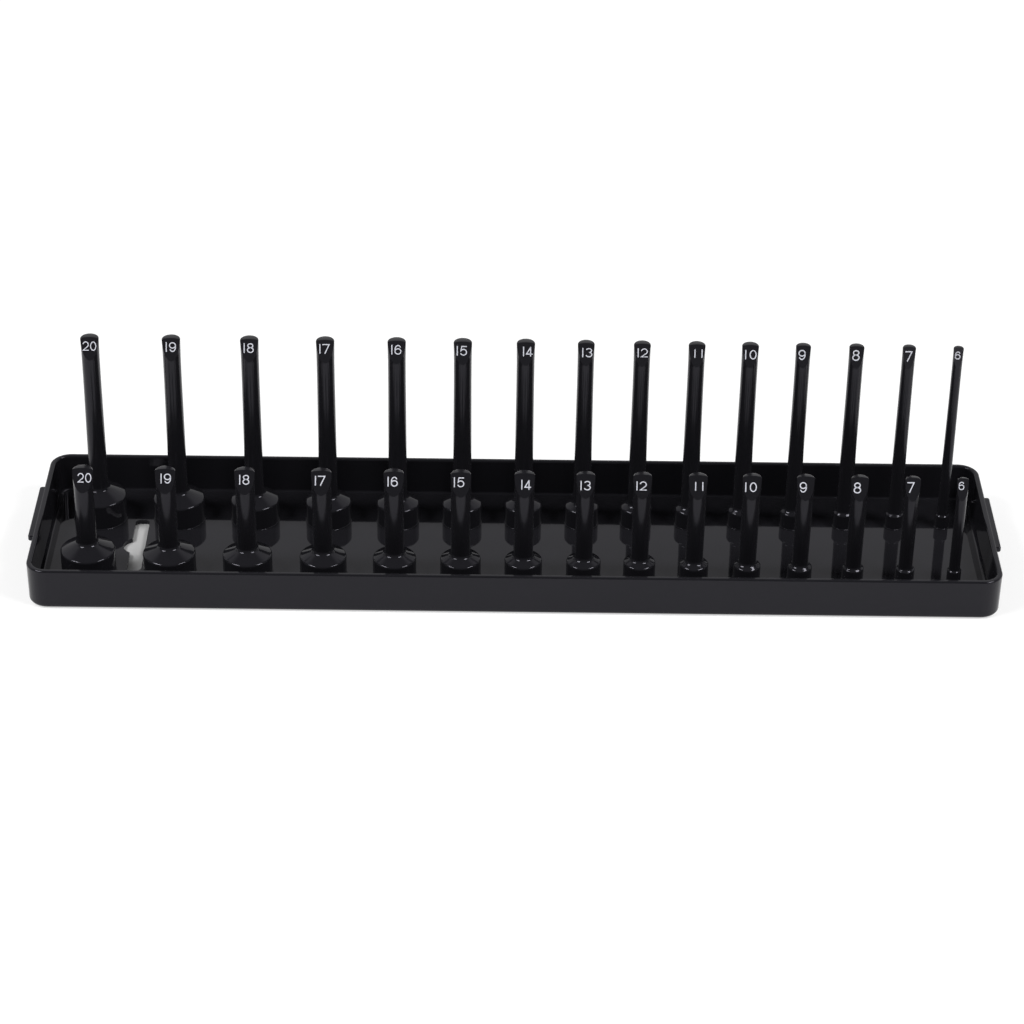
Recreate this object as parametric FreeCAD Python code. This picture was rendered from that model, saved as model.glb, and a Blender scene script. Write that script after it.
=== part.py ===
import FreeCAD, Part
import math
import os

# Socket tray: a shallow rectangular moulding with two rows of upright posts, one column per socket size.
# Millimetres. +Z up, origin at the centre of the underside, deep-socket row towards +Y,
# short-socket row towards -Y, the slanted number facets facing -Y, largest size at -X.

Vector = FreeCAD.Vector

# ---- tray moulding ----
RIM_LENGTH = 432.0
RIM_DEPTH = 101.9
TRAY_HEIGHT = 19.4
RIM_CORNER_RADIUS = 9.3
OUTER_DRAFT_INSET = 0.25      # how far the outer wall leans in at the underside
FLOOR_THICKNESS = 2.0
RIM_WIDTH = 2.5               # width of the wall at the rim
WALL_FOOT_WIDTH = 3.5         # width of the wall where it meets the floor
BASE_EDGE_ROUND = 1.9
RIM_EDGE_ROUND = 0.9
FLOOR_CORNER_ROUND = 1.2

# ---- lifting ears on the two end walls ----
EAR_LENGTH = 43.0
EAR_REACH = 2.1               # how far an ear stands out from the rim
EAR_THICKNESS = 2.6
EAR_DROP = 0.3                # ear top below the rim
EAR_CORNER_ROUND = 1.2
EAR_EDGE_ROUND = 0.6
EAR_ROOT = 1.2                # how far an ear runs into the wall

# ---- hanging slot in the floor ----
SLOT_PAST_MIDWAY = 1.5        # slot centre towards +X from midway between the first two columns
SLOT_Y = -0.8
SLOT_LENGTH = 42.8
SLOT_WIDTH = 6.5
SLOT_CORNER_ROUND = 2.2
NOTCH_Y = -1.3                # centre of the half-round notch in the slot's -X side
NOTCH_RADIUS = 6.8

# ---- the two rows ----
ROW_FROM_RIM = 27.35          # each row's distance from the long side of the rim beside it
DEEP_TOP_Z = 96.5
SHORT_TOP_Z = 56.0
SIZE_LABELS = ("20", "19", "18", "17", "16", "15", "14", "13", "12", "11", "10", "09", "08", "07", "06")
FIRST_COLUMN_FROM_END = 24.8  # from the rim's -X end
LAST_COLUMN_FROM_END = 18.4   # from the rim's +X end
# how the length between the first and last columns is shared out, in millimetres at the real length
PITCHES = (36.4, 35.0, 33.9, 32.0, 29.6, 28.2, 27.0, 25.1, 24.5, 23.9, 23.7, 23.9, 23.5, 22.1)

# ---- bosses, one value per size from 20 down to 6 ----
BOSS_DIAMETERS = (24.4, 23.6, 22.2, 21.0, 19.5, 18.2, 16.9, 15.5, 14.4, 13.0, 12.1, 10.9, 9.6, 8.5, 6.4)
BOSS_WALL_HEIGHTS = (12.2, 11.1, 10.7, 10.2, 9.8, 9.6, 9.4, 9.1, 8.9, 8.3, 7.9, 7.5, 7.2, 6.9, 6.4)
BOSS_CONE_HEIGHTS = (3.9, 3.5, 3.3, 3.0, 2.8, 2.4, 2.2, 1.9, 1.9, 1.8, 1.7, 1.5, 1.1, 0.6, 0.7)
BOSS_EDGE_ROUND = 1.1
SHAFT_FOOT_ROUND = 2.0        # hollow round between the cone and the shaft
# both rounds shrink on a narrow cone, to these shares of its width
EDGE_ROUND_SHARE = 0.6
FOOT_ROUND_SHARE = 1.1
BOSS_RING_REACH = 0.3         # thin ring round the boss where it stands on the floor
BOSS_RING_HEIGHT = 0.4
BOSS_RING_ROUND = 0.2

# ---- post shafts: columns of one class share their diameters, listed from class A to class E ----
SHAFT_CLASSES = "ABCDE"
COLUMN_CLASSES = "AAAAAAABBBBCCDE"
DEEP_FOOT_DIAMETERS = (8.6, 8.2, 7.3, 6.4, 5.0)
DEEP_LAND_DIAMETERS = (8.0, 7.4, 6.6, 5.8, 4.4)
DEEP_TIP_DIAMETERS = (8.3, 7.6, 6.8, 6.0, 4.6)
SHORT_FOOT_DIAMETERS = (8.6, 7.8, 7.1, 6.2, 5.0)
SHORT_LAND_DIAMETERS = (8.7, 8.0, 7.4, 6.4, 4.8)
SHORT_TIP_DIAMETERS = (9.0, 8.4, 7.8, 6.8, 5.1)
LAND_LENGTH = 12.0            # straight cylinder under the facet that a socket's drive hole slides over

# ---- post tips ----
FACET_LENGTH = 10.0           # height of the slanted facet
LAND_BELOW_FACET = 0.5
DEEP_CHORD_Y = -0.35          # where the facet's plane meets the top, from the post's axis
SHORT_CHORD_Y = 0.8
DOME_HEIGHT = 0.5
TIP_EDGE_ROUND = 0.5

# ---- spigot that seats each post in the tray floor ----
SPIGOT_STEP = 0.8             # spigot radius below the shaft's foot radius
SPIGOT_CLEARANCE = 0.05       # radial, in the floor's hole
SPIGOT_RECESS = 0.3           # spigot end above the underside
SPIGOT_CHAMFER = 0.3

CUT_MARGIN = 1.0              # how far cutting shapes run past a face
SAME_PLACE = 1e-4             # two heights or widths nearer than this are the same

os.makedirs("parts", exist_ok=True)


def prism_along(axis, outline, start, end):
    """Solid prism: the outline's points are given in the plane across the axis."""
    if axis == "x":
        corners = [Vector(start, a, b) for a, b in outline]
        travel = Vector(end - start, 0, 0)
    else:
        corners = [Vector(a, start, b) for a, b in outline]
        travel = Vector(0, end - start, 0)
    return Part.Face(Part.makePolygon(corners + corners[:1])).extrude(travel)


def drafted_block(low_z, high_z, low_inset, high_inset):
    """Block with the rim's rounded outline, inset by different amounts at its two heights."""
    half_length = RIM_LENGTH / 2
    half_depth = RIM_DEPTH / 2
    centre_x = half_length - RIM_CORNER_RADIUS
    centre_y = half_depth - RIM_CORNER_RADIUS

    def section(half):
        return [
            (-half + low_inset, low_z),
            (half - low_inset, low_z),
            (half - high_inset, high_z),
            (-half + high_inset, high_z),
        ]

    pieces = [prism_along("y", section(half_length), -centre_y, centre_y)]
    for x in (-centre_x, centre_x):
        for y in (-centre_y, centre_y):
            pieces.append(
                Part.makeCone(
                    RIM_CORNER_RADIUS - low_inset,
                    RIM_CORNER_RADIUS - high_inset,
                    high_z - low_z,
                    Vector(x, y, low_z),
                )
            )
    block = prism_along("x", section(half_depth), -centre_x, centre_x)
    return block.fuse(pieces).removeSplitter()


def edges_at_height(shape, z):
    """Every edge that lies flat at one height."""
    found = []
    for edge in shape.Edges:
        box = edge.BoundBox
        if abs(box.ZMin - z) < SAME_PLACE and abs(box.ZMax - z) < SAME_PLACE:
            found.append(edge)
    return found


def rounded_box(length, depth, height, corner, centre):
    """Upright box with round vertical corners, centred in X and Y, standing on centre.z."""
    box = Part.makeBox(length, depth, height, centre - Vector(length / 2, depth / 2, 0))
    upright = [edge for edge in box.Edges if edge.BoundBox.ZLength > height / 2]
    return box.makeFillet(corner, upright)


def make_ear(side):
    """Small ledge at rim level on one end wall; side is -1 or +1."""
    width = EAR_ROOT + EAR_REACH
    centre_x = side * (RIM_LENGTH / 2 - EAR_ROOT + width / 2)
    low_z = TRAY_HEIGHT - EAR_DROP - EAR_THICKNESS
    ear = rounded_box(width, EAR_LENGTH, EAR_THICKNESS, EAR_CORNER_ROUND, Vector(centre_x, 0, low_z))
    flat_edges = edges_at_height(ear, low_z) + edges_at_height(ear, low_z + EAR_THICKNESS)
    return ear.makeFillet(EAR_EDGE_ROUND, flat_edges)


def make_slot():
    """Cutting shape for the hanging slot: a long slot with a half-round notch on its -X side."""
    x = (COLUMN_XS[0] + COLUMN_XS[1]) / 2 + SLOT_PAST_MIDWAY
    height = FLOOR_THICKNESS + 2 * CUT_MARGIN
    slot = rounded_box(SLOT_WIDTH, SLOT_LENGTH, height, SLOT_CORNER_ROUND, Vector(x, SLOT_Y, -CUT_MARGIN))
    disc = Part.makeCylinder(NOTCH_RADIUS, height, Vector(x, NOTCH_Y, -CUT_MARGIN))
    left_side = Part.makeBox(
        NOTCH_RADIUS,
        2 * NOTCH_RADIUS,
        height,
        Vector(x - NOTCH_RADIUS, NOTCH_Y - NOTCH_RADIUS, -CUT_MARGIN),
    )
    return slot.fuse(disc.common(left_side)).removeSplitter()


def make_tray(holes):
    """The moulding: drafted walls, rounded rim and base, two ears, slot and one hole per post."""
    body = drafted_block(0, TRAY_HEIGHT, OUTER_DRAFT_INSET, 0)
    body = body.makeFillet(BASE_EDGE_ROUND, edges_at_height(body, 0))

    # the pocket is drawn past the rim at the same draft, then cut
    lean = (WALL_FOOT_WIDTH - RIM_WIDTH) / (TRAY_HEIGHT - FLOOR_THICKNESS)
    pocket = drafted_block(
        FLOOR_THICKNESS,
        TRAY_HEIGHT + CUT_MARGIN,
        WALL_FOOT_WIDTH,
        RIM_WIDTH - lean * CUT_MARGIN,
    )
    pocket = pocket.makeFillet(FLOOR_CORNER_ROUND, edges_at_height(pocket, FLOOR_THICKNESS))
    body = body.cut(pocket)
    body = body.makeFillet(RIM_EDGE_ROUND, edges_at_height(body, TRAY_HEIGHT))
    body = body.fuse([make_ear(-1), make_ear(1)])
    return body.cut([make_slot()] + holes)


def round_ring(solid, radius, z, rounding):
    """Round the circular edge of a turned solid that has this radius and height."""
    for edge in edges_at_height(solid, z):
        if abs(edge.BoundBox.XLength - 2 * radius) < SAME_PLACE:
            return solid.makeFillet(rounding, [edge])
    raise ValueError("no ring edge at that height")


def make_post(boss, shaft, top_z, chord_y):
    """One post on its axis: spigot, boss with a conical top, tapered shaft, flared tip, number facet."""
    boss_r, wall_h, cone_h = boss
    foot_r, land_r, tip_r = shaft
    spigot_r = foot_r - SPIGOT_STEP
    edge_z = FLOOR_THICKNESS + wall_h
    foot_z = edge_z + cone_h
    land_top_z = top_z - FACET_LENGTH - LAND_BELOW_FACET
    tip_z = top_z - DOME_HEIGHT

    ring_r = boss_r + BOSS_RING_REACH
    ring_z = FLOOR_THICKNESS + BOSS_RING_HEIGHT

    outline = [
        (0, SPIGOT_RECESS),
        (spigot_r - SPIGOT_CHAMFER, SPIGOT_RECESS),
        (spigot_r, SPIGOT_RECESS + SPIGOT_CHAMFER),
        (spigot_r, FLOOR_THICKNESS),
        (ring_r, FLOOR_THICKNESS),
        (ring_r, ring_z),
        (boss_r, ring_z),
        (boss_r, edge_z),
        (foot_r, foot_z),
        (land_r, land_top_z - LAND_LENGTH),
        (land_r, land_top_z),
        (tip_r, tip_z),
    ]
    points = [Vector(r, 0, z) for r, z in outline]
    edges = [Part.LineSegment(a, b).toShape() for a, b in zip(points, points[1:])]
    # the dome is a shallow cap of a sphere centred on the axis
    ball_r = (tip_r ** 2 + DOME_HEIGHT ** 2) / (2 * DOME_HEIGHT)
    half_angle = math.asin(tip_r / ball_r) / 2
    middle = Vector(ball_r * math.sin(half_angle), 0, top_z - ball_r * (1 - math.cos(half_angle)))
    summit = Vector(0, 0, top_z)
    edges.append(Part.Arc(points[-1], middle, summit).toShape())
    edges.append(Part.LineSegment(summit, points[0]).toShape())
    post = Part.Face(Part.Wire(edges)).revolve(Vector(0, 0, 0), Vector(0, 0, 1), 360)
    post = Part.Solid(post) if post.ShapeType == "Shell" else post

    cone_width = boss_r - foot_r
    post = round_ring(post, ring_r, ring_z, BOSS_RING_ROUND)
    post = round_ring(post, boss_r, edge_z, min(BOSS_EDGE_ROUND, EDGE_ROUND_SHARE * cone_width))
    post = round_ring(post, foot_r, foot_z, min(SHAFT_FOOT_ROUND, FOOT_ROUND_SHARE * cone_width))
    post = round_ring(post, tip_r, tip_z, TIP_EDGE_ROUND)

    # the facet's plane runs from the chord at the top down to the front of the shaft
    high = (chord_y, top_z)
    low = (-land_r, top_z - FACET_LENGTH)
    rise = (high[0] - low[0], high[1] - low[1])
    above = (high[0] + rise[0] / 2, high[1] + rise[1] / 2)
    below = (low[0] - rise[0] / 4, low[1] - rise[1] / 4)
    front_y = -tip_r - FACET_LENGTH
    waste = prism_along("x", [below, above, (front_y, above[1]), (front_y, below[1])], -2 * tip_r, 2 * tip_r)
    return post.cut(waste)


def column_positions():
    """X of every column, from the largest size to the smallest."""
    shared_length = RIM_LENGTH - FIRST_COLUMN_FROM_END - LAST_COLUMN_FROM_END
    xs = [FIRST_COLUMN_FROM_END - RIM_LENGTH / 2]
    for pitch in PITCHES:
        xs.append(xs[-1] + shared_length * pitch / sum(PITCHES))
    return xs


def shaft_radii(column_class, diameters_by_step):
    """Foot, land and tip radii of one class."""
    index = SHAFT_CLASSES.index(column_class)
    return [diameters[index] / 2 for diameters in diameters_by_step]


COLUMN_XS = column_positions()
ROW_Y = RIM_DEPTH / 2 - ROW_FROM_RIM
DEEP_SHAFTS = (DEEP_FOOT_DIAMETERS, DEEP_LAND_DIAMETERS, DEEP_TIP_DIAMETERS)
SHORT_SHAFTS = (SHORT_FOOT_DIAMETERS, SHORT_LAND_DIAMETERS, SHORT_TIP_DIAMETERS)
ROWS = (
    ("deep", ROW_Y, DEEP_TOP_Z, DEEP_CHORD_Y, DEEP_SHAFTS),
    ("short", -ROW_Y, SHORT_TOP_Z, SHORT_CHORD_Y, SHORT_SHAFTS),
)

solids = {}
holes = []
for row, y, top_z, chord_y, diameters in ROWS:
    bosses = zip(BOSS_DIAMETERS, BOSS_WALL_HEIGHTS, BOSS_CONE_HEIGHTS)
    for label, column_class, x, boss_sizes in zip(SIZE_LABELS, COLUMN_CLASSES, COLUMN_XS, bosses):
        boss_d, wall_h, cone_h = boss_sizes
        shaft = shaft_radii(column_class, diameters)
        post = make_post((boss_d / 2, wall_h, cone_h), shaft, top_z, chord_y)
        post.translate(Vector(x, y, 0))
        solids[f"post_{row}_{label}"] = post
        hole_r = shaft[0] - SPIGOT_STEP + SPIGOT_CLEARANCE
        hole_depth = FLOOR_THICKNESS + 2 * CUT_MARGIN
        holes.append(Part.makeCylinder(hole_r, hole_depth, Vector(x, y, -CUT_MARGIN)))
solids["tray"] = make_tray(holes)

for name, solid in solids.items():
    if solid.ShapeType == "Compound" and len(solid.Solids) == 1:
        solid = solid.Solids[0]
    solid.exportStep(f"parts/{name}.step")
    print(name, len(solid.Solids), solid.isValid(), round(solid.Volume, 1))
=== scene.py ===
"""Socket tray: materials, printed numerals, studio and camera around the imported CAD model."""

import math

import bpy
from mathutils import Matrix, Vector


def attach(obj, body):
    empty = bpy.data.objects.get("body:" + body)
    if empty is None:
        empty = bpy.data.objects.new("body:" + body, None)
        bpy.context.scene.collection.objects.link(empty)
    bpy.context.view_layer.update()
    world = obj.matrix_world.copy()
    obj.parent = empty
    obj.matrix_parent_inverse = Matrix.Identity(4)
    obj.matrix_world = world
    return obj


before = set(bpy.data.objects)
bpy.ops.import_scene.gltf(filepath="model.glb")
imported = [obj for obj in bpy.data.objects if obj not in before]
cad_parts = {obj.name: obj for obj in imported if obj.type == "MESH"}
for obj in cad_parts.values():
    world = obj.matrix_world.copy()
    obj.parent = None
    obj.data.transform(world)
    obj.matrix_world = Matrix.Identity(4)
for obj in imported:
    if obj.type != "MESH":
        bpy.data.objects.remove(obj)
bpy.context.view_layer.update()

MM = 0.001
BODY = "root"

# ---- places repeated from the CAD source, in millimetres ----
SIZES = (20, 19, 18, 17, 16, 15, 14, 13, 12, 11, 10, 9, 8, 7, 6)
FIRST_COLUMN_X = -191.2
PITCHES = (36.4, 35.0, 33.9, 32.0, 29.6, 28.2, 27.0, 25.1, 24.5, 23.9, 23.7, 23.9, 23.5, 22.1)
ROW_Y = 23.6
FACET_LENGTH = 10.0
SHAFT_GROUPS = ((20, 14), (13, 10), (9, 8), (7, 7), (6, 6))
DEEP_LAND_DIAMETERS = (8.0, 7.4, 6.6, 5.8, 4.4)
SHORT_LAND_DIAMETERS = (8.7, 8.0, 7.4, 6.4, 4.8)
# row name, Y, top Z, Y of the facet's top edge from the axis, land diameters
ROWS = (
    ("deep", ROW_Y, 96.5, -0.35, DEEP_LAND_DIAMETERS),
    ("short", -ROW_Y, 56.0, 0.8, SHORT_LAND_DIAMETERS),
)

# ---- printed numerals, in millimetres ----
CAP_HEIGHT = 4.35
STROKE = 0.45
INK_THICKNESS = 0.06
INK_LIFT = 0.01               # ink starts this far above the plastic
CURVE_STEPS = 28
MITRE_LIMIT = 0.45            # keeps the mitre at a sharp corner short
DIGIT_WIDTHS = {
    "0": 3.1,
    "1": 0.45,
    "2": 3.05,
    "3": 3.05,
    "4": 2.95,
    "5": 3.15,
    "6": 3.05,
    "7": 3.3,
    "8": 3.05,
    "9": 3.1,
}
GAP = 1.0                     # between two digits
OTHER_GAPS = {20: 0.75, 17: 0.85, 14: 0.9, 11: 2.7, 10: 1.55}
# how much each number is stretched across and up; 1 where not listed
SCALES = {
    20: (0.88, 0.97),
    13: (1.0, 0.96),
    12: (1.0, 0.93),
    11: (1.0, 0.88),
    10: (1.0, 0.98),
    9: (1.02, 1.06),
    8: (1.08, 1.13),
    7: (0.97, 1.1),
    6: (0.82, 0.86),
}
# each print's shift to the right of the post's axis and its drop below the facet's top edge, in the deep
# row and in the short row; the prints differ from post to post
PLACES = {
    20: ((0.05, 4.1), (0.9, 4.4)),
    19: ((0.0, 4.1), (0.35, 4.3)),
    18: ((-0.2, 4.15), (0.0, 4.45)),
    17: ((-0.2, 4.1), (-0.45, 4.45)),
    16: ((-0.1, 4.1), (-0.45, 4.5)),
    15: ((-0.4, 4.2), (-0.75, 4.45)),
    14: ((0.9, 4.2), (0.7, 5.15)),
    13: ((0.5, 4.4), (-0.05, 5.27)),
    12: ((0.2, 4.2), (-0.45, 5.1)),
    11: ((0.65, 4.25), (0.5, 5.0)),
    10: ((0.2, 4.45), (-0.5, 5.1)),
    9: ((-0.6, 4.3), (-1.15, 4.9)),
    8: ((-0.3, 4.25), (-1.1, 4.9)),
    7: ((-0.2, 4.4), (-1.0, 4.45)),
    6: ((-0.3, 3.8), (-0.65, 3.5)),
}


# ================= numerals =================


def arc(centre, radii, start, end):
    """Points on an ellipse's arc, from one angle to another in degrees."""
    points = []
    for step in range(CURVE_STEPS + 1):
        angle = math.radians(start + (end - start) * step / CURVE_STEPS)
        points.append((centre[0] + radii[0] * math.cos(angle), centre[1] + radii[1] * math.sin(angle)))
    return points


def digit_strokes(digit):
    """Centre lines of one digit and whether each closes on itself; the origin is its lower left corner."""
    half = STROKE / 2
    width = DIGIT_WIDTHS[digit] - STROKE
    height = CAP_HEIGHT - STROKE
    middle = width / 2
    low, high = -half, height + half
    if digit == "0":
        return [(arc((middle, height / 2), (middle, height / 2), 90, 450), True)]
    if digit == "1":
        return [([(0, low), (0, high)], False)]
    if digit == "2":
        bowl = arc((middle, height - middle), (middle, middle), 172, -38)
        return [(bowl + [(0, 0), (width + half, 0)], False)]
    if digit == "3":
        upper_r, lower_r = height * 0.235, height * 0.265
        upper = arc((middle, height - upper_r), (middle * 0.9, upper_r), 165, -90)
        lower = arc((middle, lower_r), (middle, lower_r), 90, -165)
        return [(upper, False), (lower, False)]
    if digit == "4":
        stem = width * 0.72
        bar = height * 0.21
        return [
            ([(stem, low), (stem, high - half * 0.4)], False),
            ([(width + half, bar), (0, bar), (stem, height)], False),
        ]
    if digit == "5":
        radius = height * 0.33
        bowl = arc((middle, radius), (middle, radius), 138, -160)
        flag = [(width + half * 0.4, height), (width * 0.2, height), (width * 0.06, height * 0.5)]
        return [(flag + bowl, False)]
    if digit == "7":
        return [([(low, height), (width, height), (width * 0.3, low)], False)]
    if digit == "8":
        upper_r, lower_r = height * 0.23, height * 0.27
        upper = arc((middle, height - upper_r), (middle * 0.86, upper_r), -90, 270)
        lower = arc((middle, lower_r), (middle, lower_r), 90, 450)
        return [(upper, True), (lower, True)]
    # six, and nine as the same shape turned round
    radius = height * 0.31
    bowl = arc((middle, radius), (middle, radius), 90, 450)
    tail = [(0, radius)] + arc((middle, height * 0.52), (middle, height * 0.48), 180, 32)
    strokes = [(bowl, True), (tail, False)]
    if digit == "9":
        strokes = [([(width - x, height - y) for x, y in line], closed) for line, closed in strokes]
    return strokes


def numeral_strokes(size):
    """Strokes of a whole number, centred on the origin."""
    lines = []
    pen_x = 0.0
    for index, digit in enumerate(str(size)):
        if index:
            pen_x += OTHER_GAPS.get(size, GAP)
        for line, closed in digit_strokes(digit):
            lines.append(([(pen_x + STROKE / 2 + x, STROKE / 2 + y) for x, y in line], closed))
        pen_x += DIGIT_WIDTHS[digit]
    return [
        ([(x - pen_x / 2, y - CAP_HEIGHT / 2) for x, y in line], closed)
        for line, closed in lines
    ]


def stroke_sides(line, closed):
    """Left and right edge points of a stroke of even width, mitred at its corners."""
    if closed:
        line = line[:-1]
    count = len(line)
    left, right = [], []
    for index, point in enumerate(line):
        here = Vector(point)
        before = Vector(line[index - 1]) if index or closed else None
        after = Vector(line[(index + 1) % count]) if index < count - 1 or closed else None
        incoming = (here - before).normalized() if before else (after - here).normalized()
        outgoing = (after - here).normalized() if after else incoming
        across = Vector((-incoming.y - outgoing.y, incoming.x + outgoing.x)).normalized()
        reach = STROKE / 2 / max(MITRE_LIMIT, across.dot(Vector((-incoming.y, incoming.x))))
        left.append(here + across * reach)
        right.append(here - across * reach)
    return left, right


def ink_mesh(name, size):
    """A number as thin raised strokes, standing on its own XY plane, in metres."""
    verts, faces = [], []
    across, upward = SCALES.get(size, (1.0, 1.0))
    for line, closed in numeral_strokes(size):
        left, right = stroke_sides(line, closed)
        count = len(left)
        base = len(verts)
        for height in (INK_LIFT, INK_LIFT + INK_THICKNESS):
            for point in left + right:
                verts.append((point.x * across * MM, point.y * upward * MM, height * MM))
        top = base + 2 * count
        for index in range(count if closed else count - 1):
            following = (index + 1) % count
            l0, l1, r0, r1 = index, following, count + index, count + following
            faces.append((top + r0, top + r1, top + l1, top + l0))
            faces.append((base + l0, base + l1, base + r1, base + r0))
            faces.append((base + l1, base + l0, top + l0, top + l1))
            faces.append((base + r0, base + r1, top + r1, top + r0))
        if not closed:
            first, last = 0, count - 1
            faces.append((base + first, base + count + first, top + count + first, top + first))
            faces.append((base + count + last, base + last, top + last, top + count + last))
    mesh = bpy.data.meshes.new(name)
    mesh.from_pydata(verts, [], faces)
    mesh.update()
    return mesh


def add_object(name, data):
    """A new object in the scene's collection."""
    obj = bpy.data.objects.new(name, data)
    bpy.context.scene.collection.objects.link(obj)
    return obj


def land_diameter(size, diameters):
    """Diameter of the straight stretch under the facet, for one size."""
    for (largest, smallest), diameter in zip(SHAFT_GROUPS, diameters):
        if smallest <= size <= largest:
            return diameter
    raise ValueError("size in no group")


def facet_frame(x, y, top_z, edge_y, land_d, shift, drop):
    """Matrix that lays a numeral's XY plane on one post's facet."""
    high = Vector((x, y + edge_y, top_z))
    low = Vector((x, y - land_d / 2, top_z - FACET_LENGTH))
    up = (high - low).normalized()
    right = Vector((1, 0, 0))
    out = right.cross(up)
    centre = high - up * drop + right * shift
    return Matrix.Translation(centre * MM) @ Matrix((right, up, out)).transposed().to_4x4()


def add_numerals(ink):
    """One printed number on every post."""
    columns = [FIRST_COLUMN_X]
    for pitch in PITCHES:
        columns.append(columns[-1] + pitch)
    for row_index, (row, y, top_z, edge_y, diameters) in enumerate(ROWS):
        for size, x in zip(SIZES, columns):
            name = f"numeral_{row}_{size:02d}"
            mesh = ink_mesh(name, size)
            shift, drop = PLACES[size][row_index]
            mesh.transform(facet_frame(x, y, top_z, edge_y, land_diameter(size, diameters), shift, drop))
            mesh.materials.append(ink)
            piece = add_object(name, mesh)
            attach(piece, BODY)


# ================= materials =================


class Nodes:
    """Small helper that adds nodes to one tree and links their sockets."""

    def __init__(self, tree):
        self.tree = tree
        tree.nodes.clear()

    def add(self, kind, links=None, **settings):
        node = self.tree.nodes.new(kind)
        for key, value in settings.items():
            setattr(node, key, value)
        for socket, value in (links or {}).items():
            if isinstance(value, bpy.types.NodeSocket):
                self.tree.links.new(value, node.inputs[socket])
            else:
                node.inputs[socket].default_value = value
        return node

    def noise(self, coords, scale, detail=2.0, roughness=0.5):
        return self.add(
            "ShaderNodeTexNoise",
            {"Vector": coords, "Scale": scale, "Detail": detail, "Roughness": roughness},
        ).outputs["Fac"]

    def spread(self, value, low, high, from_low=0.3, from_high=0.7):
        return self.add(
            "ShaderNodeMapRange",
            {"Value": value, "From Min": from_low, "From Max": from_high, "To Min": low, "To Max": high},
        ).outputs["Result"]

    def blend(self, factor, first, second):
        mix = self.add("ShaderNodeMix", data_type="RGBA")
        self.tree.links.new(factor, mix.inputs["Factor"])
        mix.inputs["A"].default_value = first
        mix.inputs["B"].default_value = second
        return mix.outputs["Result"]

    def bump(self, height, distance, strength, normal=None):
        links = {"Height": height, "Distance": distance, "Strength": strength}
        if normal is not None:
            links["Normal"] = normal
        return self.add("ShaderNodeBump", links).outputs["Normal"]


def new_material(name):
    material = bpy.data.materials.new(name)
    material.use_nodes = True
    return material, Nodes(material.node_tree)


REFRACTIVE_INDEX = 1.5        # of plastic and ink alike

# ---- black plastic; noise scales are per metre, heights in metres ----
DARKER_BLACK = (0.0104, 0.0102, 0.0122, 1)
PALER_BLACK = (0.0134, 0.0131, 0.0158, 1)
SHEEN_TINT = (0.90, 0.88, 1.0, 1)   # the gloss of this black reads faintly violet
SPECULAR_LEVEL = 0.24         # 0.5 is the full gloss of that index; less, as the floor is mirrored white
GLOSS_UP_TO = 0.018           # heights between which the posts turn from polished to satin
SATIN_FROM = 0.026
CLOUD_SCALE = 38.0
SHEEN_SCALE = 130.0
HAIRLINE_SCALE = 1400.0
HAIRLINE_STRETCH = (0.12, 1.0, 1.0)
WAVE_SCALE = 55.0
WAVE_HEIGHT = 0.0004
GRAIN_SCALE = 2400.0
GRAIN_HEIGHT = 0.00003
GRAIN_STRENGTH = 0.10

# ---- ink ----
THIN_INK = (0.72, 0.73, 0.82, 1)
FULL_INK = (0.84, 0.85, 0.92, 1)
INK_ROUGHNESS = (0.38, 0.55)
INK_FILM_SCALE = 1500.0
INK_GRAIN_SCALE = 5200.0
INK_GRAIN_HEIGHT = 0.00002
INK_GRAIN_STRENGTH = 0.25


def moulded_plastic(name, roughness_low, roughness_high, waviness, satin_step=0.0):
    """Glossy black moulded plastic: cloudy sheen, faint mould waviness, a fine grain and hairline marks.

    The satin step is how much rougher the surface is above the bosses than at and below them."""
    material, nodes = new_material(name)
    coords = nodes.add("ShaderNodeTexCoord").outputs["Object"]
    clouds = nodes.noise(coords, CLOUD_SCALE, detail=4.0)
    colour = nodes.blend(clouds, DARKER_BLACK, PALER_BLACK)
    # hairline marks: noise stretched along the tray
    stretched = nodes.add(
        "ShaderNodeMapping",
        {"Vector": coords, "Scale": HAIRLINE_STRETCH},
    ).outputs["Vector"]
    hairlines = nodes.noise(stretched, HAIRLINE_SCALE, detail=3.0, roughness=0.7)
    sheen = nodes.noise(coords, SHEEN_SCALE, detail=5.0, roughness=0.6)
    mixed = nodes.add("ShaderNodeMath", {0: sheen, 1: hairlines}, operation="ADD").outputs[0]
    polished = nodes.spread(mixed, roughness_low, roughness_high, from_low=0.75, from_high=1.25)
    height = nodes.add("ShaderNodeSeparateXYZ", {"Vector": coords}).outputs["Z"]
    satin = nodes.spread(height, 0.0, satin_step, GLOSS_UP_TO, SATIN_FROM)
    roughness = nodes.add("ShaderNodeMath", {0: polished, 1: satin}, operation="ADD").outputs[0]
    waves = nodes.bump(nodes.noise(coords, WAVE_SCALE, detail=1.0), WAVE_HEIGHT, waviness)
    grain = nodes.bump(nodes.noise(coords, GRAIN_SCALE), GRAIN_HEIGHT, GRAIN_STRENGTH, waves)
    shader = nodes.add(
        "ShaderNodeBsdfPrincipled",
        {
            "Base Color": colour,
            "Roughness": roughness,
            "Normal": grain,
            "IOR": REFRACTIVE_INDEX,
            "Specular IOR Level": SPECULAR_LEVEL,
            "Specular Tint": SHEEN_TINT,
        },
    )
    nodes.add("ShaderNodeOutputMaterial", {"Surface": shader.outputs[0]})
    return material


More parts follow.
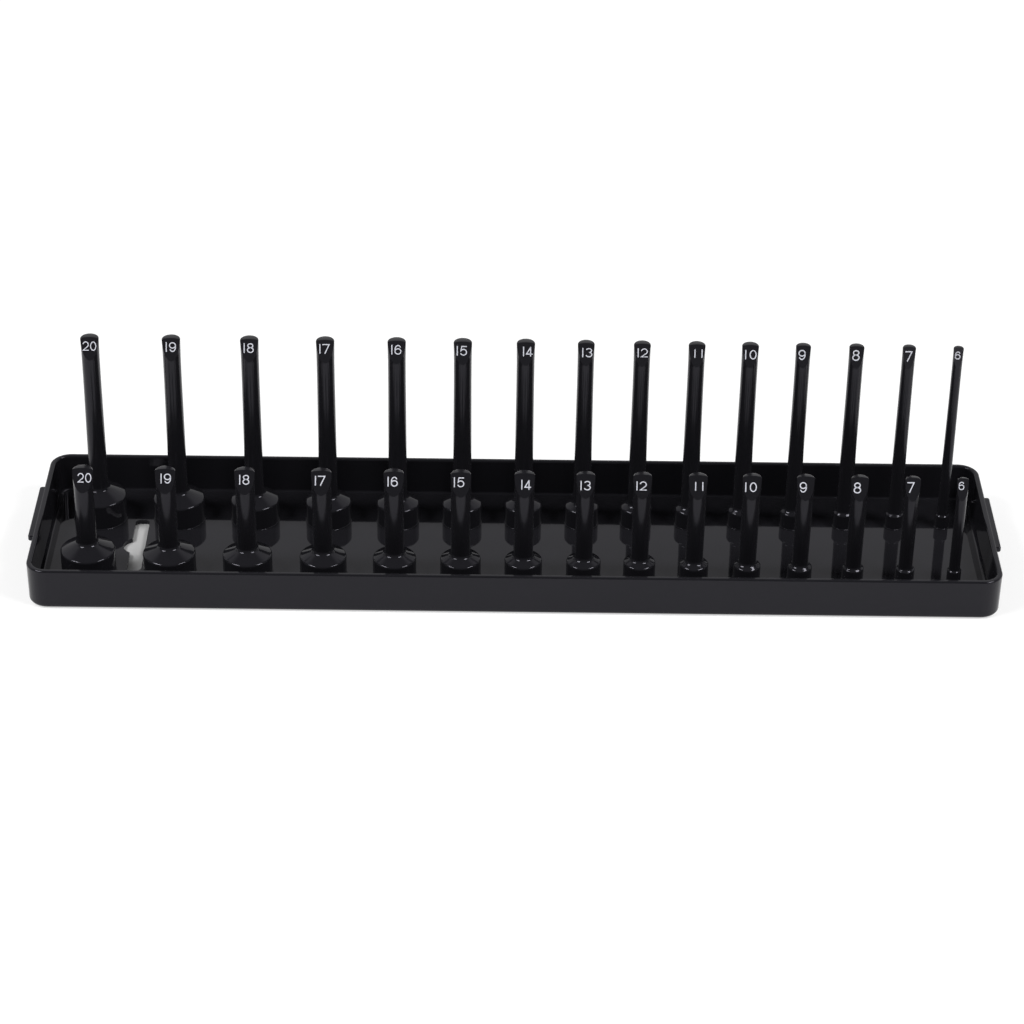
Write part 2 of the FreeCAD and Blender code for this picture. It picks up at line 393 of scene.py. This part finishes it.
def printed_ink(name):
    """Pad-printed white ink, a little uneven where the film is thin."""
    material, nodes = new_material(name)
    coords = nodes.add("ShaderNodeTexCoord").outputs["Object"]
    film = nodes.noise(coords, INK_FILM_SCALE, detail=3.0)
    colour = nodes.blend(film, THIN_INK, FULL_INK)
    grain = nodes.bump(nodes.noise(coords, INK_GRAIN_SCALE), INK_GRAIN_HEIGHT, INK_GRAIN_STRENGTH)
    roughness = nodes.spread(film, *INK_ROUGHNESS)
    shader = nodes.add(
        "ShaderNodeBsdfPrincipled",
        {"Base Color": colour, "Roughness": roughness, "Normal": grain, "IOR": REFRACTIVE_INDEX},
    )
    nodes.add("ShaderNodeOutputMaterial", {"Surface": shader.outputs[0]})
    return material


def dress_nodes():
    """Every CAD node keeps its shape and gets its plastic."""
    tray_plastic = moulded_plastic(
        "tray_black_plastic", roughness_low=0.02, roughness_high=0.05, waviness=0.05
    )
    post_plastic = moulded_plastic(
        "post_black_plastic", roughness_low=0.05, roughness_high=0.09, waviness=0.08, satin_step=0.11
    )
    for name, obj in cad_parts.items():
        plastic = tray_plastic if name == "tray" else post_plastic
        for slot in obj.material_slots:
            slot.material = plastic


# ================= studio =================

# ---- floor, sky and lamps: metres, watts and strengths of glow ----
FLOOR_SIZE = 8.0
FLOOR_DROP = 0.0002           # below the tray's underside, so that the two faces don't coincide
FLOOR_PAINT = (0.50, 0.50, 0.50, 1)
FLOOR_GLOW = 0.58             # added where the floor is seen or mirrored, so that it reads white
FAR_GLOW = 0.90               # the same far from the tray, where less lamp light falls
FAR_FROM = 0.35               # distance from the tray's middle where the glow starts to rise
FAR_TO = 1.9
SHADED_GLOW = 0.0             # the same under the tray, where it is seen through the slot; left out there, as painted shade in the tray's outline
SHADED_HALF_LENGTH = 0.205
SHADED_HALF_DEPTH = 0.040
SKY_BACK = 0.64
SKY_FRONT = 0.24
SKY_FRONT_HIGH = 0.07         # in front, above the lowest part
SKY_TOP = 0.09
# directions between which the sky's glow changes, as Z (upwards) or Y (backwards) of a unit vector
FRONT_DIMS_Z = (0.15, 0.45)
BACK_BRIGHTENS_Y = (-0.25, 0.45)
TOP_DIMS_Z = (0.74, 0.94)
# the two softboxes and their places; each faces the tray
SOFTBOXES = (("softbox_left", (-1.05, -0.45, 1.3)), ("softbox_right", (1.05, -0.45, 1.3)))
SOFTBOX_WIDTH = 0.74
SOFTBOX_HEIGHT = 0.45
SOFTBOX_POWER = 17.4

# ---- camera, in millimetres, degrees and pixels of a 1024-pixel frame ----
CAMERA_PLACE = (-8.4, -1204.6, 769.3)
CAMERA_PITCH = 31.83
CAMERA_YAW = -0.335
CAMERA_ROLL = 0.849
FOCAL_PIXELS = 3128.0
FRAME_PIXELS = 1024.0
SENSOR_WIDTH = 36.0


def add_floor():
    """A large pale floor just under the tray."""
    half = FLOOR_SIZE / 2
    mesh = bpy.data.meshes.new("floor")
    corners = [(-half, -half, 0), (half, -half, 0), (half, half, 0), (-half, half, 0)]
    mesh.from_pydata(corners, [], [(0, 1, 2, 3)])
    material, nodes = new_material("pale_floor")
    rays = nodes.add("ShaderNodeLightPath").outputs
    seen = rays["Is Camera Ray"]
    for kind in ("Is Glossy Ray", "Is Transmission Ray"):
        seen = nodes.add("ShaderNodeMath", {0: seen, 1: rays[kind]}, operation="MAXIMUM").outputs[0]
    place = nodes.add("ShaderNodeTexCoord").outputs["Object"]
    axes = nodes.add("ShaderNodeSeparateXYZ", {"Vector": place}).outputs
    # painted shade: a rectangle in the tray's outline where the floor's glow is taken away
    painted_shade = None
    for axis, half_size in (("X", SHADED_HALF_LENGTH), ("Y", SHADED_HALF_DEPTH)):
        distance = nodes.add("ShaderNodeMath", {0: axes[axis]}, operation="ABSOLUTE").outputs[0]
        inside = nodes.add("ShaderNodeMath", {0: distance, 1: half_size}, operation="LESS_THAN").outputs[0]
        if painted_shade is not None:
            inside = nodes.add("ShaderNodeMath", {0: inside, 1: painted_shade}, operation="MULTIPLY").outputs[0]
        painted_shade = inside
    distance = nodes.add("ShaderNodeVectorMath", {0: place}, operation="LENGTH").outputs["Value"]
    open_glow = nodes.spread(distance, FLOOR_GLOW, FAR_GLOW, FAR_FROM, FAR_TO)
    level = nodes.spread(painted_shade, open_glow, SHADED_GLOW, 0.0, 1.0)
    strength = nodes.add("ShaderNodeMath", {0: seen, 1: level}, operation="MULTIPLY").outputs[0]
    glow = nodes.add("ShaderNodeEmission", {"Color": (1, 1, 1, 1), "Strength": strength}).outputs[0]
    paint = nodes.add("ShaderNodeBsdfDiffuse", {"Color": FLOOR_PAINT}).outputs[0]
    both = nodes.add("ShaderNodeAddShader", {0: glow, 1: paint}).outputs[0]
    nodes.add("ShaderNodeOutputMaterial", {"Surface": both})
    mesh.materials.append(material)
    floor = add_object("floor", mesh)
    floor.location.z = -FLOOR_DROP


def light_world():
    """A pale backdrop behind, dimmer in front, dark overhead; out of sight at the photo's angle."""
    world = bpy.data.worlds.new("studio")
    bpy.context.scene.world = world
    world.use_nodes = True
    nodes = Nodes(world.node_tree)
    direction = nodes.add("ShaderNodeTexCoord").outputs["Generated"]
    axes = nodes.add("ShaderNodeSeparateXYZ", {"Vector": direction}).outputs

    def fade(value, limits, low, high):
        return nodes.add(
            "ShaderNodeMapRange",
            {"Value": value, "From Min": limits[0], "From Max": limits[1], "To Min": low, "To Max": high},
            interpolation_type="SMOOTHSTEP",
        ).outputs["Result"]

    front = fade(axes["Z"], FRONT_DIMS_Z, SKY_FRONT, SKY_FRONT_HIGH)
    around = fade(axes["Y"], BACK_BRIGHTENS_Y, front, SKY_BACK)
    lowness = fade(axes["Z"], TOP_DIMS_Z, 1.0, 0.0)
    sky = nodes.add("ShaderNodeMath", {0: around, 1: lowness}, operation="MULTIPLY").outputs[0]
    lifted = nodes.add("ShaderNodeMath", {0: sky, 1: SKY_TOP}, operation="MAXIMUM").outputs[0]
    background = nodes.add("ShaderNodeBackground", {"Color": (1, 1, 1, 1), "Strength": lifted})
    nodes.add("ShaderNodeOutputWorld", {"Surface": background.outputs[0]})


def add_softboxes():
    for name, place in SOFTBOXES:
        data = bpy.data.lights.new(name, "AREA")
        data.shape = "RECTANGLE"
        data.size = SOFTBOX_WIDTH
        data.size_y = SOFTBOX_HEIGHT
        data.energy = SOFTBOX_POWER
        lamp = add_object(name, data)
        lamp.location = place
        lamp.rotation_euler = (-Vector(place)).to_track_quat("-Z", "Y").to_euler()


def add_camera():
    pitch, yaw, roll = (math.radians(a) for a in (CAMERA_PITCH, CAMERA_YAW, CAMERA_ROLL))
    forward = Vector((-math.sin(yaw) * math.cos(pitch), math.cos(yaw) * math.cos(pitch), -math.sin(pitch)))
    level = Vector((math.cos(yaw), math.sin(yaw), 0))
    upward = level.cross(forward)
    right = level * math.cos(roll) + upward * math.sin(roll)
    up = upward * math.cos(roll) - level * math.sin(roll)
    data = bpy.data.cameras.new("camera")
    data.sensor_width = SENSOR_WIDTH
    data.lens = FOCAL_PIXELS / FRAME_PIXELS * SENSOR_WIDTH
    camera = add_object("camera", data)
    turn = Matrix((right, up, -forward)).transposed().to_4x4()
    camera.matrix_world = Matrix.Translation(Vector(CAMERA_PLACE) * MM) @ turn
    bpy.context.scene.camera = camera


dress_nodes()
add_numerals(printed_ink("numeral_white_ink"))
add_floor()
light_world()
add_softboxes()
add_camera()
bpy.context.scene.view_settings.view_transform = "Standard"
